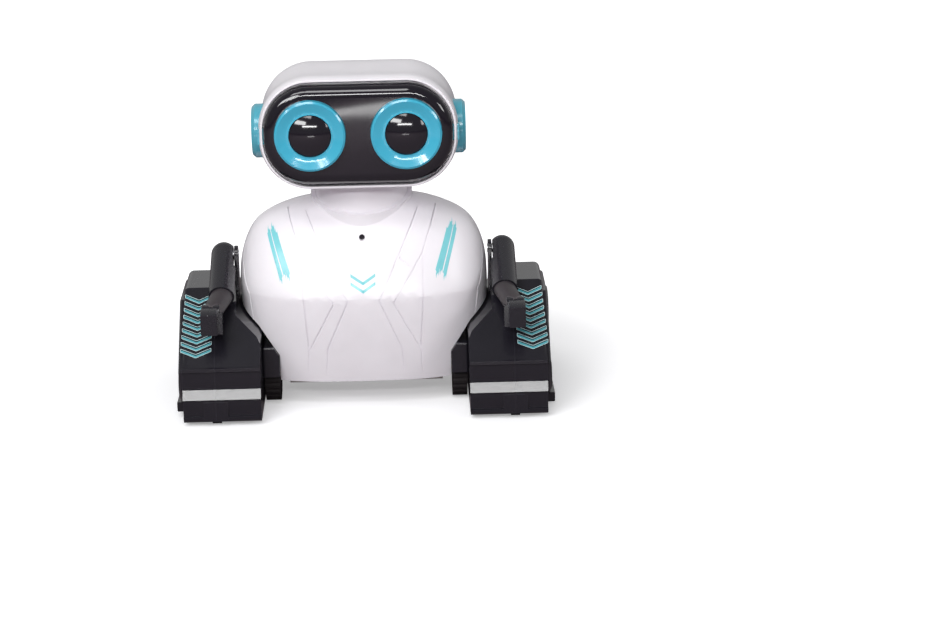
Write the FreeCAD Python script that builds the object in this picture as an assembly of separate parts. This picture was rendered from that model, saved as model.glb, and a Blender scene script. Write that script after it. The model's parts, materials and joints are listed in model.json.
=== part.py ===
import FreeCAD, Part
import math
import os

# Toy robot, millimetres. +X is the robot's own left, it faces -Y, +Z is up, and the floor is z = 0.
# While it is drawn, y = 0 is the neck axis; save_all() moves the whole robot so that the middle of its
# footprint is the origin.

V = FreeCAD.Vector
X_AXIS, Y_AXIS, Z_AXIS = V(1, 0, 0), V(0, 1, 0), V(0, 0, 1)

# Fits
RUN = 0.08            # radial clearance of a turning fit
GAP = 0.35            # free gap between bodies that move past each other
BACKLASH = 0.20       # extra centre distance of each gear pair
FAR = 90.0            # length of cutting tools that pass right through

# Torso
WALL = 2.0
BODY_HALF = 42.0      # half-width at the crest
BODY_FRONT = 28.0
BODY_BACK = 27.0
BODY_BOTTOM = 9.0
CREST_Z = 39.3
BODY_TOP = 67.9
FLANK_X = 28.8        # flat lower flank beside each drive wheel
ARCH_TOP = 34.0       # height of the cut-out over each side cover
ARCH_SHOULDER = (35.5, 28.5)
ARCH_FOOT_Z = 18.5
SEAM_Y = -17.0        # parting plane of the chest and back shells below the crest
SEAM_TOP = (2.0, 64.0)
GROOVE_W = 0.45
GROOVE_D = 0.45

# Neck and head
COLLAR_R = 17.15
NECK_R = 15.6
NECK_WALL = 1.5
COLLAR_FRONT_Z = 65.4
COLLAR_TILT = 16.5
COLLAR_FOOT_Z = 56.0
HEAD_Z = 94.8
HEAD_HALF = 32.6
HEAD_HIGH = 18.6
HEAD_FRONT = -26.0
HEAD_BACK = 22.0
HEAD_SEAM_Y = -3.0
HEAD_WALL = 1.7
HEAD_FLOOR = HEAD_Z - HEAD_HIGH + HEAD_WALL + 0.45
VISOR_HALF = 30.9
VISOR_HIGH = 16.3
VISOR_R = 15.0
VISOR_ROUND, VISOR_BLEND = 2.9, 3.8
VISOR_FACE = -29.4
EYE_X = 15.7
EYE_Z = 95.2
EYE_R = 11.8
PUPIL_R = 6.9
EAR_R = 9.0
EAR_OUT = 35.4
EAR_Y = -10.0
EAR_Z = 93.4

# Arms
ARM_X = 47.2
ARM_R = 4.3
SHOULDER = (-4.0, 49.6)     # y, z of the pivot
ARM_DROP = 24.0             # degrees below level at rest
ARM_LEN = 22.6              # pivot to open end
FORE_R = 3.4
FORE_LEN = 11.0
FORE_SPLAY = 17.0
PIN_R = 1.5
PYLON_IN, PYLON_OUT, PYLON_R = 42.35, 43.6, 3.0

# Side covers
COVER_OUT = 60.4
COVER_IN = 34.6
COVER_SEAM = 49.6
COVER_MID = -5.0            # the covers are alike fore and aft of this y
COVER_TOP = 41.6
COVER_WALL = 1.8
COVER_FRONT = -40.2
PANEL_FOOT_Z = 20.3
PANEL_TOP_Y = -16.5
BUMPER_Z = 1.5

# Drive
WHEEL_R = 9.5
WHEEL_Y = -10.5
WHEEL_IN, WHEEL_OUT = 29.15, 34.2
AXLE_R = 1.2
GUARD_TOP = 21.5
GUARD_SPLIT = 11.1
MODULE = 0.4
PINION_TEETH, BIG_TEETH, SMALL_TEETH, AXLE_TEETH = 9, 30, 10, 12
BOX_IN, BOX_OUT = 15.0, 26.0
MOTOR_R = 6.0
ROLLER_R = 2.6
ROLLER_Y = 30.5             # fore and aft of COVER_MID
ROLLER_PIN_R = 0.8

# Base and power
PLATE_Z0, PLATE_Z1 = 9.6, 11.4
CELL_R = 5.2
CELL_LEN = 43.0
BAY = (-23.5, 23.5, 0.0, 22.0)
DOOR = (-20.0, 20.0, 2.6, 16.0)
DOOR_SCREW_Y = 18.6
BOSS_R, REAR_BOSS_R, SCREW_R = 2.5, 2.0, 1.0
BOSS_HIGH = 5.4
BOARD_Y, BOARD_T = 13.0, 1.6


# ---------------------------------------------------------------- plain solids
def box(x0, x1, y0, y1, z0, z1):
    return Part.makeBox(x1 - x0, y1 - y0, z1 - z0, V(x0, y0, z0))


def rod(start, axis, radius, length):
    return Part.makeCylinder(radius, length, V(*start), axis)


def tube(start, axis, outer, inner, length):
    return rod(start, axis, outer, length).cut(rod(start, axis, inner, length))


def prism_x(points, x0, x1):
    """A closed outline of (y, z) points, drawn out from x0 to x1."""
    wire = Part.makePolygon([V(x0, y, z) for y, z in points + points[:1]])
    return Part.Face(wire).extrude(V(x1 - x0, 0, 0))


def prism_y(points, y0, y1):
    """A closed outline of (x, z) points, drawn out from y0 to y1."""
    wire = Part.makePolygon([V(x, y0, z) for x, z in points + points[:1]])
    return Part.Face(wire).extrude(V(0, y1 - y0, 0))


def both(shape):
    """The shape and its mirror image in the middle plane."""
    return [shape, mirrored(shape)]


def mirrored(shape):
    return shape.mirror(V(0, 0, 0), X_AXIS)


def join(shape, *others):
    return shape.fuse(list(others)).removeSplitter()


def solids(*shapes):
    """Separate solids kept together in one node."""
    loose = [s for shape in shapes for s in shape.Solids]
    return Part.makeCompound(loose) if len(loose) > 1 else loose[0]


def largest(shape):
    return max(shape.Solids, key=lambda s: s.Volume)


# ---------------------------------------------------------------- sections
def oval_wire(z, half, front, back, power):
    """A closed smooth section at height z: a superellipse whose front and back halves differ in depth."""
    points = []
    steps = 36
    for k in range(steps):
        a = 2 * math.pi * k / steps
        depth = back if math.sin(a) > 0 else front
        reach = (abs(math.cos(a) / half) ** power + abs(math.sin(a) / depth) ** power) ** (-1 / power)
        points.append(V(reach * math.cos(a), reach * math.sin(a), z))
    curve = Part.BSplineCurve()
    curve.interpolate(points, PeriodicFlag=True)
    return Part.Wire(curve.toShape())


def pill_wire(y, half, high, radius, z):
    """A rounded rectangle standing in the plane y, centred on x = 0 and height z."""
    a, b = half - radius, high - radius
    r, h = radius, radius * math.sqrt(0.5)
    corners = ((a, b, 1, 1), (a, -b, 1, -1), (-a, -b, -1, -1), (-a, b, -1, 1))
    edges = []
    for n, (cx, cz, sx, sz) in enumerate(corners):
        down = n % 2 == 0
        first = V(cx, y, z + cz + sz * r) if down else V(cx + sx * r, y, z + cz)
        last = V(cx + sx * r, y, z + cz) if down else V(cx, y, z + cz + sz * r)
        middle = V(cx + sx * h, y, z + cz + sz * h)
        if edges:
            edges.append(Part.makeLine(edges[-1].Vertexes[-1].Point, first))
        edges.append(Part.Arc(first, middle, last).toShape())
    edges.append(Part.makeLine(edges[-1].Vertexes[-1].Point, edges[0].Vertexes[0].Point))
    return Part.Wire(edges)


def pill_loft(rows, ruled=False):
    """Solid through rounded rectangles, each row being (y, half-width, half-height, corner radius)."""
    return Part.makeLoft([pill_wire(*row, HEAD_Z) for row in rows], True, ruled)


# ---------------------------------------------------------------- torso
def body_solid(inset=0.0):
    """The bell of the torso: straight flanks up to the crest, then a dome up to the neck."""
    lower = [(BODY_BOTTOM - 2 * bool(inset), 38.6, 22.0, 23.6), (24.0, 40.9, 25.6, 26.0),
             (CREST_Z, BODY_HALF, BODY_FRONT, BODY_BACK)]
    upper = [(CREST_Z, BODY_HALF, BODY_FRONT, BODY_BACK), (46.0, 41.7, 25.6, 26.2), (52.0, 40.5, 22.9, 24.4),
             (57.0, 38.4, 20.2, 22.0), (61.5, 34.9, 17.2, 19.0), (65.2, 28.4, 13.4, 15.0),
             (BODY_TOP, 17.6, 8.0, 9.0)]
    shapes = []
    for rows in (lower, upper):
        wires = []
        for z, half, front, back in rows:
            power = 2.9 if z < 58 else 2.5
            drop = inset if z > 60 else 0.0
            wires.append(oval_wire(z - drop, half - inset, front - inset, back - inset, power))
        shapes.append(Part.makeLoft(wires, True, False))
    return join(*shapes)


def arch_outline(grow=0.0):
    """Lower corner of the torso that is cut away for a side cover, as (x, z) points."""
    sx, sz = ARCH_SHOULDER
    return [(FLANK_X - grow, -5), (FLANK_X - grow, ARCH_FOOT_Z + 0.4 * grow),
            (sx - 0.8 * grow, sz + 0.7 * grow), (BODY_HALF + 1 - 0.8 * grow, ARCH_TOP + 1 + 0.8 * grow),
            (FAR, ARCH_TOP + 1 + 0.8 * grow), (FAR, -5)]


def without_arches(shape, grow=0.0):
    for tool in both(prism_y(arch_outline(grow), -FAR, FAR)):
        shape = shape.cut(tool)
    return largest(shape)


def collar():
    """Sleeve for the neck; its top leans so that the back stands higher than the front."""
    sleeve = rod((0, 0, COLLAR_FOOT_Z), Z_AXIS, COLLAR_R, 30)
    lid = box(-FAR, FAR, -FAR, FAR, 0, FAR)
    lid.rotate(V(0, 0, 0), X_AXIS, COLLAR_TILT)
    lid.translate(V(0, -COLLAR_R, COLLAR_FRONT_Z))
    return sleeve.cut(lid)


def strip(points, width):
    """A thin ribbon of constant width along (x, z) points, drawn out through the front of the torso."""
    pieces = []
    for (x0, z0), (x1, z1) in zip(points, points[1:]):
        length = math.hypot(x1 - x0, z1 - z0)
        nx, nz = (z0 - z1) * width / 2 / length, (x1 - x0) * width / 2 / length
        quad = [(x0 - nx, z0 - nz), (x1 - nx, z1 - nz), (x1 + nx, z1 + nz), (x0 + nx, z0 + nz)]
        pieces.append(prism_y(quad, -FAR, 0))
        pieces.append(rod((x1, -FAR, z1), Y_AXIS, width / 2, FAR))
    return pieces


def chest_lines():
    """The engraved lines of the chest, as seen from the front, on the robot's left half."""
    outer = [(24.8, 66.0), (20.3, 54.0), (19.9, CREST_Z), (18.7, 21.8), (19.4, BODY_BOTTOM - 1)]
    inner = [(18.6, 66.0), (5.25, CREST_Z - 0.7), (12.5, 21.3), (13.2, BODY_BOTTOM - 1)]
    cross = [(20.2, 53.4), (9.95, CREST_Z - 1.5), (18.6, 20.9)]
    tools = strip(outer, GROOVE_W) + strip(inner, GROOVE_W) + strip(cross, GROOVE_W)
    return tools + [mirrored(t) for t in tools] + strip([(12.2, 51.9), (15.4, 49.3)], GROOVE_W)


def front_half():
    """Everything in front of the parting face between chest_shell and back_shell."""
    y1, z1 = SEAM_TOP
    return prism_x([(-FAR, -5), (SEAM_Y, -5), (SEAM_Y, CREST_Z), (y1, z1), (y1, FAR), (-FAR, FAR)], -FAR, FAR)


def seam_band():
    """A narrow band that runs along the parting face."""
    w = GROOVE_W / 2
    y1, z1 = SEAM_TOP
    return prism_x([(SEAM_Y - w, -5), (SEAM_Y + w, -5), (SEAM_Y + w, CREST_Z), (y1 + w, z1), (y1 + w, FAR),
                    (y1 - w, FAR), (y1 - w, z1), (SEAM_Y - w, CREST_Z)], -FAR, FAR)


def boss_places():
    """x, y of the screw bosses: two on the chest shell, two on the back shell."""
    return [(sx * 10.5, -16.5) for sx in (1, -1)], [(sx * 24.9, 11.9) for sx in (1, -1)]


def torso():
    outer = join(without_arches(body_solid()), collar())
    cavity = without_arches(body_solid(WALL), WALL)
    sleeve_room = rod((0, 0, 0), Z_AXIS, NECK_R + RUN, FAR)
    keep = collar()
    hull = outer.cut(cavity.cut(keep)).cut(sleeve_room)
    skin = without_arches(body_solid()).cut(body_solid(GROOVE_D))
    for tool in chest_lines() + [seam_band()]:
        hull = hull.cut(tool.common(skin))
    hull = hull.cut(rod((0, -FAR, 58.2), Y_AXIS, 1.0, FAR))
    for side in both(rod((30, WHEEL_Y, WHEEL_R), V(-1, 0, 0), AXLE_R + GAP, 6)):
        hull = hull.cut(side)
    front = front_half()
    shells = [largest(hull.common(front)), largest(hull.cut(front))]
    inside = body_solid(WALL - 0.3)
    finished = []
    for shell, places, radius in zip(shells, boss_places(), (BOSS_R, REAR_BOSS_R)):
        for x, y in places:
            post = rod((x, y, PLATE_Z1), Z_AXIS, radius, BOSS_HIGH)
            wall_x = math.copysign(FLANK_X - 1, x)
            rib = box(min(x, wall_x), max(x, wall_x), y - 0.7, y + 0.7, PLATE_Z1, PLATE_Z1 + BOSS_HIGH)
            if radius == BOSS_R:
                rib = box(x - 0.7, x + 0.7, -FAR, y, PLATE_Z1, PLATE_Z1 + BOSS_HIGH)
            shell = shell.fuse(join(post, rib).common(inside))
            shell = shell.cut(rod((x, y, PLATE_Z1 - 1), Z_AXIS, SCREW_R, BOSS_HIGH))
        finished.append(shell)
    for rail in both(box(18.0, 19.4, BOARD_Y + BOARD_T, FAR, 34, 50)):
        finished[1] = finished[1].fuse(rail.common(inside))
    return [largest(shell) for shell in finished]


def neck():
    """The turning neck tube and the split ring that keeps it in the collar."""
    clip_z = COLLAR_FOOT_Z - GAP - 1.6
    pipe = tube((0, 0, clip_z - 1.4), Z_AXIS, NECK_R, NECK_R - NECK_WALL, HEAD_FLOOR + 2.0 - clip_z + 1.4)
    groove = tube((0, 0, clip_z), Z_AXIS, NECK_R + 1, NECK_R - 0.7, 1.6)
    pipe = pipe.cut(groove)
    clip = tube((0, 0, clip_z), Z_AXIS, NECK_R + 1.4, NECK_R - 0.7, 1.6)
    clip = clip.cut(box(-2, 2, 5, FAR, 0, FAR))
    foot = tube((0, 0, HEAD_FLOOR), Z_AXIS, NECK_R + 2.2, NECK_R - 0.1, 2.0)
    foot = foot.cut(box(-FAR, FAR, 6.5, FAR, 0, FAR))
    return join(pipe, foot), clip


# ---------------------------------------------------------------- base, power, electronics
def base_plate():
    slab = body_solid(WALL + 0.15).common(box(-FAR, FAR, -FAR, FAR, PLATE_Z0, PLATE_Z1))
    slab = without_arches(slab, WALL + 0.15)
    x0, x1, y0, y1 = BAY
    floor_z = PLATE_Z1
    walls = box(x0 - 1.2, x1 + 1.2, y0 - 1.2, y1, floor_z - 0.2, 22.5)
    walls = walls.cut(box(x0, x1, y0, y1 + 2, 0, 40))
    walls = walls.common(body_solid(WALL + 0.15))
    for x, y in boss_places()[1]:
        walls = walls.cut(rod((x, y, 0), Z_AXIS, REAR_BOSS_R + GAP, FAR))
    plate = join(slab, walls)
    dx0, dx1, dy0, dy1 = DOOR
    plate = plate.cut(box(dx0, dx1, dy0, dy1, 0, 14))
    plate = plate.cut(box(dx0 - 1.5, dx1 + 1.5, dy0 - 1.0, dy1 + 1.0, 0, PLATE_Z0 + 0.9))
    plate = plate.cut(box(-3.2, 3.2, dy1, DOOR_SCREW_Y + 2.6, 0, PLATE_Z0 + 0.9))
    plate = plate.cut(rod((0, DOOR_SCREW_Y, 0), Z_AXIS, SCREW_R, 20))
    axle_room = rod((BOX_OUT, WHEEL_Y, WHEEL_R), X_AXIS, AXLE_R + GAP, 3)
    for tool in both(axle_room) + both(box(BOX_IN, BOX_OUT + 0.1, -18.9, -2.1, 0, 20)):
        plate = plate.cut(tool)
    for front, rear in zip(*boss_places()):
        for x, y in (front, rear):
            plate = plate.cut(rod((x, y, 0), Z_AXIS, SCREW_R + 0.2, 20))
    plate = plate.cut(box(-4.0, 4.0, -12.0, -8.0, 0, 20))
    return largest(plate)


def battery_door():
    x0, x1, y0, y1 = DOOR
    lid = box(x0 - 1.3, x1 + 1.3, y0 - 0.8, y1 + 0.8, PLATE_Z0 - 0.2, PLATE_Z0 + 0.9)
    pad = box(x0 + 0.2, x1 - 0.2, y0 + 0.2, y1 - 0.2, PLATE_Z0 + 0.5, PLATE_Z1)
    grips = [box(x0 + 4, x1 - 4, y, y + 0.7, PLATE_Z0 - 0.6, PLATE_Z0) for y in (5.0, 7.0, 9.0)]
    tongue = box(-3.0, 3.0, y1, DOOR_SCREW_Y + 2.4, PLATE_Z0 - 0.2, PLATE_Z0 + 0.9)
    return join(lid, pad, tongue, *grips).cut(rod((0, DOOR_SCREW_Y, 0), Z_AXIS, SCREW_R, 20))


def screw(start, axis, length, head=2.0):
    """A round-headed screw with a cross slot, its head outside the start point."""
    shank = rod(start, axis, SCREW_R - 0.02, length)
    outward = axis * -1
    cap = rod(start, outward, head, 1.0)
    side = V(axis.z, axis.x, axis.y)
    other = axis.cross(side)
    tip = V(*start) + outward * 1.0
    for a, b in ((side, other), (other, side)):
        slot = Part.makeBox(1, 1, 1)
        corner = tip - a * 1.2 - b * 0.25 + axis * 0.6
        matrix = FreeCAD.Matrix(a.x * 2.4, b.x * 0.5, outward.x, corner.x, a.y * 2.4, b.y * 0.5, outward.y,
                                corner.y, a.z * 2.4, b.z * 0.5, outward.z, corner.z, 0, 0, 0, 1)
        cap = cap.cut(slot.transformGeometry(matrix))
    return join(shank, cap)


def power():
    """Three cells, their contacts, and the captive screw of the door."""
    z0 = PLATE_Z1 + 0.3 + CELL_R
    ys = (5.3, 15.75)
    places = [(ys[0], z0), (ys[1], z0), ((ys[0] + ys[1]) / 2, z0 + 9.2)]
    cells, tabs = [], []
    for n, (y, z) in enumerate(places):
        way = 1 if n % 2 else -1
        can = rod((-way * CELL_LEN / 2, y, z), V(way, 0, 0), CELL_R, CELL_LEN - 0.8)
        cells.append(join(can, rod((way * (CELL_LEN / 2 - 0.9), y, z), V(way, 0, 0), 1.9, 0.9)))
        for x0, x1 in ((-23.4, -CELL_LEN / 2), (CELL_LEN / 2, 23.4)):
            tabs.append(box(x0 + (x0 > 0) * 0.3, x1 - (x0 < 0) * 0.3, y - 2.3, y + 2.3, z - 2.6, z + 2.6))
    return solids(*cells), solids(*tabs), screw((0, DOOR_SCREW_Y, PLATE_Z0 - 0.2), Z_AXIS, 1.9, 1.9)


def switch():
    knob = join(box(-1.5, 0.5, -11.4, -8.6, 8.4, 12.0), box(-2.6, 1.6, -11.8, -8.2, PLATE_Z1 + 0.35, 13.4))
    case = box(-5.2, 5.2, -13.0, -7.0, PLATE_Z1, 16.4).cut(box(-4.2, 4.2, -12.2, -7.8, 0, 13.8))
    return knob, case


def electronics():
    y0, y1 = BOARD_Y, BOARD_Y + BOARD_T
    board = box(-22.0, 22.0, y0, y1, 33.0, 51.5)
    chips = [box(-6, 6, y0 - 1.4, y0, 38, 46), box(-18, -12, y0 - 1.6, y0, 36, 42),
             box(12, 17, y0 - 2.0, y0, 43, 48), rod((-14.0, y0, 48.0), V(0, -1, 0), 2.2, 4.5),
             rod((9.5, y0, 37.0), V(0, -1, 0), 1.8, 4.0)]
    cone = join(rod((0, y1, 42), Y_AXIS, 5.5, 4.4), rod((0, y1 + 4.0, 42), Y_AXIS, 9.5, 2.0))
    eye = rod((0, -18.3, 58.2), Y_AXIS, 1.0, 2.3)
    return board, solids(*chips), cone, eye


# ---------------------------------------------------------------- drive
def gear(centre, teeth, width, bore=0.0, phase=0.0):
    """Spur gear about an axis along +X with straight-flanked teeth, thinned for backlash."""
    x, y, z = centre
    pitch, tip, root = MODULE * teeth / 2, MODULE * (teeth / 2 + 0.9), MODULE * (teeth / 2 - 1.2)
    step = 2 * math.pi / teeth
    points = []
    for k in range(teeth):
        a = k * step + phase
        for radius, share in ((root, -0.34), (pitch, -0.22), (tip, -0.11), (tip, 0.11), (pitch, 0.22), (root, 0.34)):
            t = a + share * step
            points.append((y + radius * math.cos(t), z + radius * math.sin(t)))
    body = prism_x(points, x, x + width)
    return body.cut(rod((x - 1, y, z), X_AXIS, bore, width + 2)) if bore else body


def gearbox_room(x0, x1, skin, z_axle, z_mid, top):
    """Room about the wheel gear and the double gear, left open at the top; skin is what is added round them."""
    big = MODULE * (BIG_TEETH / 2 + 0.9) + skin
    low = MODULE * (AXLE_TEETH / 2 + 0.9) + skin
    shaft = box(x0, x1, WHEEL_Y - big, WHEEL_Y + big, z_mid, top)
    return join(shaft, rod((x0, WHEEL_Y, z_mid), X_AXIS, big, x1 - x0),
                rod((x0, WHEEL_Y, z_axle), X_AXIS, low, x1 - x0))


def drive():
    """Axle, gears, motor, frame, wheel, tyre and guard of the robot's left side."""
    y, z_axle = WHEEL_Y, WHEEL_R
    z_mid = z_axle + MODULE * (SMALL_TEETH + AXLE_TEETH) / 2 + BACKLASH
    z_motor = z_mid + MODULE * (PINION_TEETH + BIG_TEETH) / 2 + BACKLASH
    plate = 1.4
    frame = gearbox_room(BOX_IN, BOX_OUT, 1.0, z_axle, z_mid, z_motor + MOTOR_R)
    frame = frame.cut(gearbox_room(BOX_IN + plate, BOX_OUT - plate, 0.3, z_axle, z_mid, FAR))
    frame = join(frame, box(BOX_IN - 1.4, BOX_IN + plate, -18.4, -2.6, PLATE_Z1, PLATE_Z1 + 1.2))
    bearing = rod((BOX_OUT - plate - 0.9, y, z_axle), X_AXIS, AXLE_R + 1.0, 1.0)
    frame = join(frame, bearing).cut(rod((BOX_OUT - 4, y, z_axle), X_AXIS, AXLE_R + RUN, FAR))
    frame = frame.cut(rod((0, y, z_mid), X_AXIS, AXLE_R - 0.2, FAR))
    frame = frame.cut(rod((0, y, z_motor), X_AXIS, 1.7, BOX_IN + 4))
    flat = MOTOR_R - 1.0
    motor = rod((1.0, y, z_motor), X_AXIS, MOTOR_R, BOX_IN - 1.0)
    motor = motor.common(box(0, FAR, y - FAR, y + FAR, z_motor - flat, z_motor + flat))
    motor = motor.cut(rod((BOX_IN - 4.3, y, z_motor), X_AXIS, 0.5 + RUN, 10))
    pinion = gear((BOX_IN + plate + 0.5, y, z_motor), PINION_TEETH, 2.6, 0, -math.pi / 2)
    pinion = join(pinion, rod((BOX_IN - 4.0, y, z_motor), X_AXIS, 0.5, plate + 7.4))
    half = math.pi / BIG_TEETH
    big_x, small_x = BOX_IN + plate + 0.7, BOX_IN + plate + 3.5
    big = gear((big_x, y, z_mid), BIG_TEETH, 2.2, 0, math.pi / 2 + half)
    small = gear((small_x - 0.7, y, z_mid), SMALL_TEETH, 4.4, 0, -math.pi / 2)
    cluster = join(big, small).cut(rod((0, y, z_mid), X_AXIS, AXLE_R - 0.2 + RUN, FAR))
    pin = rod((BOX_IN, y, z_mid), X_AXIS, AXLE_R - 0.2, BOX_OUT - BOX_IN)
    ring = gear((small_x + 0.9, y, z_axle), AXLE_TEETH, 2.4, 0, math.pi / 2 + math.pi / AXLE_TEETH)
    axle_x = big_x + 2.2 + 1.0
    axle = join(rod((axle_x, y, z_axle), X_AXIS, AXLE_R, WHEEL_OUT - 0.2 - axle_x), ring)
    tread = tube((WHEEL_IN, y, z_axle), X_AXIS, WHEEL_R, WHEEL_R - 2.2, WHEEL_OUT - WHEEL_IN)
    for k in range(24):
        notch = rod((WHEEL_IN - 1, y, z_axle + WHEEL_R + 0.55), X_AXIS, 0.9, 8)
        notch.rotate(V(0, y, z_axle), X_AXIS, 360 * (k + 0.5) / 24)
        tread = tread.cut(notch)
    hub = rod((WHEEL_IN + 0.15, y, z_axle), X_AXIS, WHEEL_R - 2.2, WHEEL_OUT - WHEEL_IN - 0.3)
    hub = hub.cut(tube((WHEEL_OUT - 1.2, y, z_axle), X_AXIS, WHEEL_R - 3.4, 2.6, 3))
    hub = hub.cut(rod((0, y, z_axle), X_AXIS, AXLE_R, FAR))
    reach = WHEEL_R + GAP + 0.35
    front, back = y - reach - 1.3, y + reach + 1.3
    guard = box(FLANK_X, COVER_IN, front, back, GUARD_SPLIT, GUARD_TOP)
    edges = [e for e in guard.Edges if abs(e.BoundBox.ZMin - GUARD_TOP) < 0.01 or
             (e.BoundBox.YMax < front + 0.01 and e.BoundBox.ZLength > 1)]
    guard = guard.makeFillet(0.7, edges)
    guard = guard.cut(rod((0, y, z_axle), X_AXIS, reach, FAR)).common(prism_y(arch_outline(-0.1), -FAR, FAR))
    return {"gearbox": frame, "motor": motor, "pinion": pinion, "reduction_gear": cluster, "gear_pin": pin,
            "axle": axle, "wheel": hub, "tyre": tread, "wheel_guard": largest(guard)}


# ---------------------------------------------------------------- side covers
def cover_outline(top, inset=0.0):
    """Side outline of a cover as (y, z) points; the rear repeats the front."""
    f = COVER_FRONT
    front = [(f + 1.2, BUMPER_Z), (f + 0.5, BUMPER_Z + 0.6), (f + 0.3, 3.4), (f + 1.0, 3.6), (f + 0.5, 9.0),
             (f, 9.4), (f + 1.3, 12.6), (f + 2.0, 12.8), (f + 1.7, 18.3), (f + 1.0, 18.7), (f + 1.1, 19.8),
             (f + 1.9, PANEL_FOOT_Z)]
    if inset:
        front = [(f + 3.0, -5), (f + 3.9, PANEL_FOOT_Z - 0.8)]
    slope = (COVER_TOP - PANEL_FOOT_Z) / (PANEL_TOP_Y - f - 1.9)
    top_y = f + 1.9 + (top - PANEL_FOOT_Z) / slope
    front.append((top_y + inset * 0.45, top - inset))
    return front + [(2 * COVER_MID - y, z) for y, z in reversed(front)]


def roller_seats():
    return [COVER_MID - ROLLER_Y, COVER_MID + ROLLER_Y]


def road_wheels():
    """Moulded half-wheels and hub on the outside face: (y, z, radius, how far they stand out)."""
    low = [(COVER_MID + k * 15.5, 11.6, 5.2, 0.6) for k in (-1.5, -0.5, 0.5, 1.5)]
    return low + [(COVER_MID, 27.5, 8.4, 0.8)]


def side_cover():
    """Outer and inner halves of the left side cover."""
    top_in = 37.6
    outer = prism_x(cover_outline(COVER_TOP), COVER_SEAM, COVER_OUT)
    crown = [e for e in outer.Edges if e.BoundBox.XMin > COVER_OUT - 0.01 and e.BoundBox.ZMin > PANEL_FOOT_Z - 0.1]
    outer = outer.makeFillet(2.0, crown)
    cheek = prism_x(cheek_outline(), COVER_OUT - 0.5, COVER_OUT + 1.2)
    rims = [e for e in cheek.Edges if e.BoundBox.XMin > COVER_OUT + 1.19]
    outer = join(outer, cheek.makeChamfer(0.5, rims))
    for y, z, radius, out in road_wheels():
        disc = rod((COVER_OUT, y, z), X_AXIS, radius, 1.2 + out)
        disc = disc.makeFillet(0.8, [disc.Edges[0] if disc.Edges[0].BoundBox.XMin > COVER_OUT + 0.5 else disc.Edges[2]])
        dish = tube((COVER_OUT + 0.6 + out, y, z), X_AXIS, radius * 0.74, radius * 0.42, 4)
        outer = outer.fuse(disc.cut(dish))
    rail = box(COVER_OUT, COVER_OUT + 2.9, COVER_MID - 24.4, COVER_MID + 24.4, 2.3, 5.6)
    outer = outer.fuse(rail.makeFillet(0.4, [e for e in rail.Edges if e.BoundBox.XMin > COVER_OUT + 2]))
    outer = outer.cut(prism_x(cover_outline(COVER_TOP, COVER_WALL), COVER_SEAM - 1, COVER_OUT - COVER_WALL))
    inner = prism_x(cover_outline(top_in), COVER_IN, COVER_SEAM)
    inner = inner.cut(prism_x(cover_outline(top_in, COVER_WALL), COVER_IN + 1.4, COVER_SEAM + 1))
    sx, sz = ARCH_SHOULDER
    step = [(COVER_IN - 1, sz - 3.5), (COVER_IN + 0.2, sz - 2.1), (sx + 0.2, sz - 0.5),
            (BODY_HALF + 0.7, ARCH_TOP - 0.2), (BODY_HALF + 0.7, FAR), (COVER_IN - 1, FAR)]
    wall = [(COVER_IN, sz - 3.9), (sx + 0.4, sz - 2.1), (BODY_HALF + 2.3, ARCH_TOP - 2.1), (BODY_HALF + 2.3, FAR),
            (BODY_HALF + 0.4, FAR), (COVER_IN, sz)]
    side = prism_y(wall, -FAR, FAR).common(prism_x(cover_outline(top_in), COVER_IN, COVER_SEAM))
    inner = inner.fuse(side).cut(prism_y(step, -FAR, FAR))
    halves = [outer, inner]
    for y in roller_seats():
        slot = box(COVER_SEAM - 1.9, COVER_SEAM + 1.9, y - 3.2, y + 3.2, -1, 6.4)
        for n, x0 in enumerate((COVER_SEAM, COVER_SEAM - 4.0)):
            block = box(x0, x0 + 4.0, y - 4.4, y + 4.4, BUMPER_Z + 0.3, 8.4)
            halves[n] = halves[n].fuse(block).cut(slot)
            halves[n] = halves[n].cut(rod((COVER_SEAM - 3.2, y, ROLLER_R), X_AXIS, ROLLER_PIN_R, 6.4))
    for y, z in track_screw_places():
        post = rod((COVER_SEAM, y, z), X_AXIS, BOSS_R, COVER_OUT - COVER_SEAM - 1.0)
        halves[0] = halves[0].fuse(post).cut(rod((COVER_SEAM - 1, y, z), X_AXIS, SCREW_R, 8))
        sleeve = rod((COVER_IN + 0.4, y, z), X_AXIS, BOSS_R, COVER_SEAM - COVER_IN - 0.4)
        halves[1] = halves[1].fuse(sleeve).cut(rod((COVER_IN - 1, y, z), X_AXIS, SCREW_R + 0.2, 20))
        halves[1] = halves[1].cut(rod((COVER_IN - 1, y, z), X_AXIS, 2.2, 10.0))
    relief = arm_rod(ARM_R + 0.55, 30, ARM_X, -6)
    halves = [half.cut(relief) for half in halves]
    y, z = SHOULDER
    cheeks = [(y - ARM_R, ARCH_TOP + 1.5), (y - PYLON_R, z), (y + PYLON_R, z), (y + ARM_R, ARCH_TOP + 1.5)]
    pylon = join(rod((PYLON_IN, y, z), X_AXIS, PYLON_R, PYLON_OUT - PYLON_IN), prism_x(cheeks, PYLON_IN, PYLON_OUT))
    foot = box(PYLON_IN, PYLON_OUT + 1.6, y - ARM_R, y + ARM_R, ARCH_TOP + 1.5, top_in - 1.0)
    halves[1] = halves[1].fuse(join(pylon, foot)).cut(rod((PYLON_IN - 1, y, z), X_AXIS, PIN_R, 4))
    return [largest(half) for half in halves]


def cheek_outline():
    """Flat raised side plate of a cover, a little inside its outline."""
    f = COVER_FRONT
    front = [(f + 9.5, 5.0), (f + 2.4, 12.0), (f + 2.2, 18.6), (PANEL_TOP_Y - 1.6, COVER_TOP - 3.6)]
    return front + [(2 * COVER_MID - y, z) for y, z in reversed(front)]


def track_screw_places():
    return [(COVER_MID - 27.0, 15.5), (COVER_MID + 27.0, 15.5)]


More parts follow.
